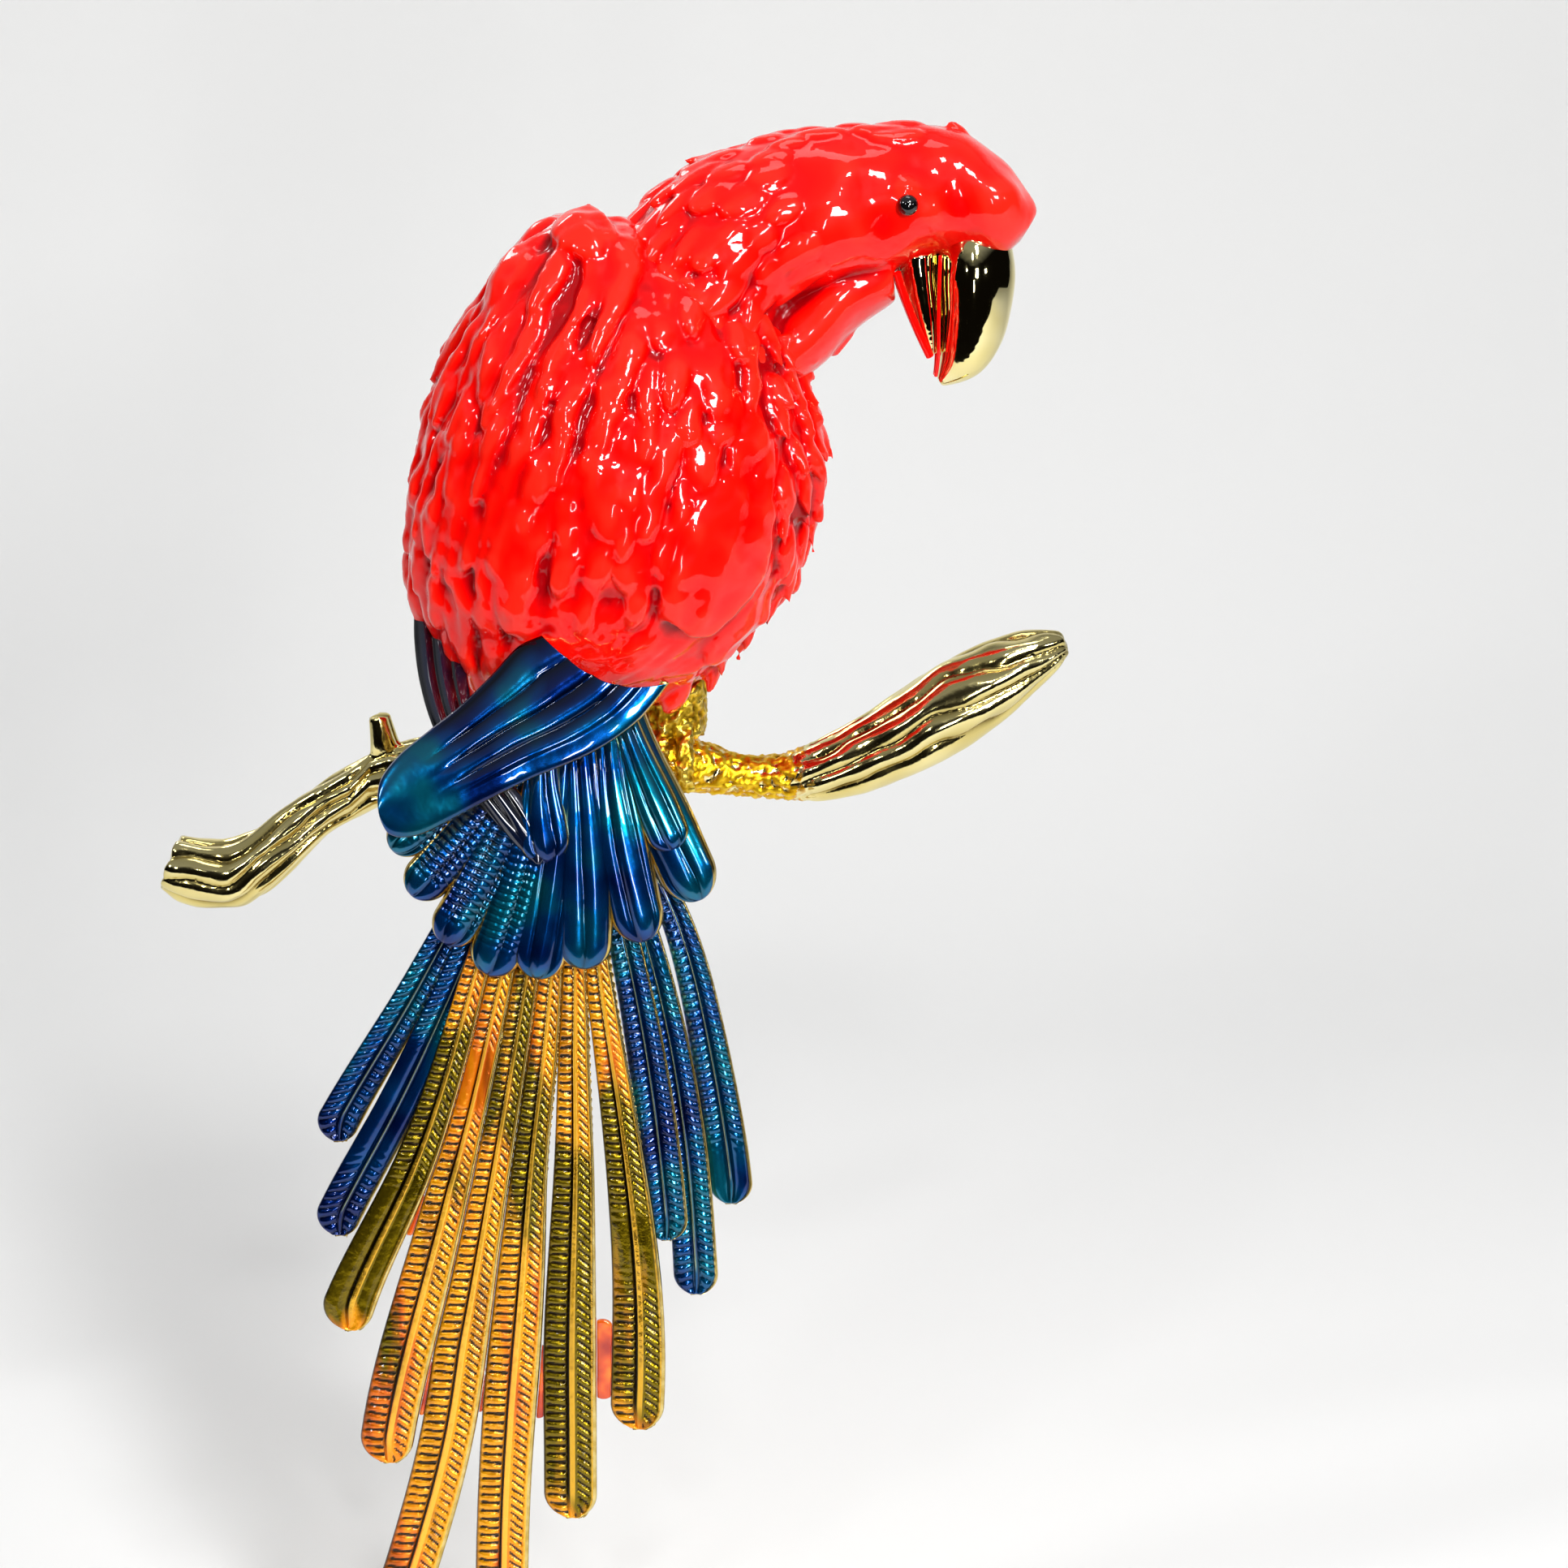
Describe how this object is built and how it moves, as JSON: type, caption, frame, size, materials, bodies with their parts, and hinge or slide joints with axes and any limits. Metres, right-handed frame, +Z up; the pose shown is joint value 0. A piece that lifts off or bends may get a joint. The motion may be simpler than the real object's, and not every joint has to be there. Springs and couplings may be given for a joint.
{
  "type": "enamelled macaw ornament on a branch",
  "caption": "Enamelled metal macaw perched on a gilt branch, its head turned to the side and a long layered tail hanging down past the edge of a ledge.",
  "frame": {"origin": "centre of the flat seat under the branch, which rests on top of a ledge", "axes": "+X along the branch towards the beak, +Y away from the tail and over the ledge, +Z up"},
  "size_m": [0.1337, 0.0555, 0.2264],
  "materials": {
    "red_enamel": "thick glossy scarlet enamel over the casting",
    "blue_enamel": "glossy translucent royal blue enamel over metal",
    "navy_enamel": "glossy translucent navy enamel over metal",
    "amber_enamel": "glossy translucent amber enamel over gilt metal",
    "gilt_branch": "polished pale gold plating, bark texture",
    "gilt_legs": "rough gold plating",
    "gilt_beak": "mirror polished pale gold plating",
    "black_bead": "glossy black glass bead",
    "steel_pin": "plain",
    "steel_screw": "plain",
    "solder": "solder under orange enamel"
  },
  "bodies": {
    "root": {"blue_tail_feather_left_1": "blue_enamel", "blue_tail_feather_left_2": "blue_enamel", "blue_tail_feather_right_1": "blue_enamel", "blue_tail_feather_right_2": "blue_enamel", "blue_tail_feather_right_3": "blue_enamel", "body_shell": "red_enamel", "head_shell": "red_enamel", "left_eye": "black_bead", "left_leg": "gilt_legs", "left_wing_tip": "navy_enamel", "leg_screws": "steel_screw", "lower_beak": "gilt_beak", "neck_dowel": "steel_pin", "perch_branch": "gilt_branch", "right_eye": "black_bead", "right_leg": "gilt_legs", "right_wing_tip": "blue_enamel", "side_tail_coverts": "blue_enamel", "solder_bridges": "solder", "tail_bracket": "gilt_legs", "upper_beak": "gilt_beak", "upper_tail_coverts": "blue_enamel", "yellow_tail_feather_1": "amber_enamel", "yellow_tail_feather_2": "amber_enamel", "yellow_tail_feather_3": "amber_enamel", "yellow_tail_feather_4": "amber_enamel", "yellow_tail_feather_5": "amber_enamel", "yellow_tail_feather_6": "amber_enamel"}
  },
  "joints": []
}
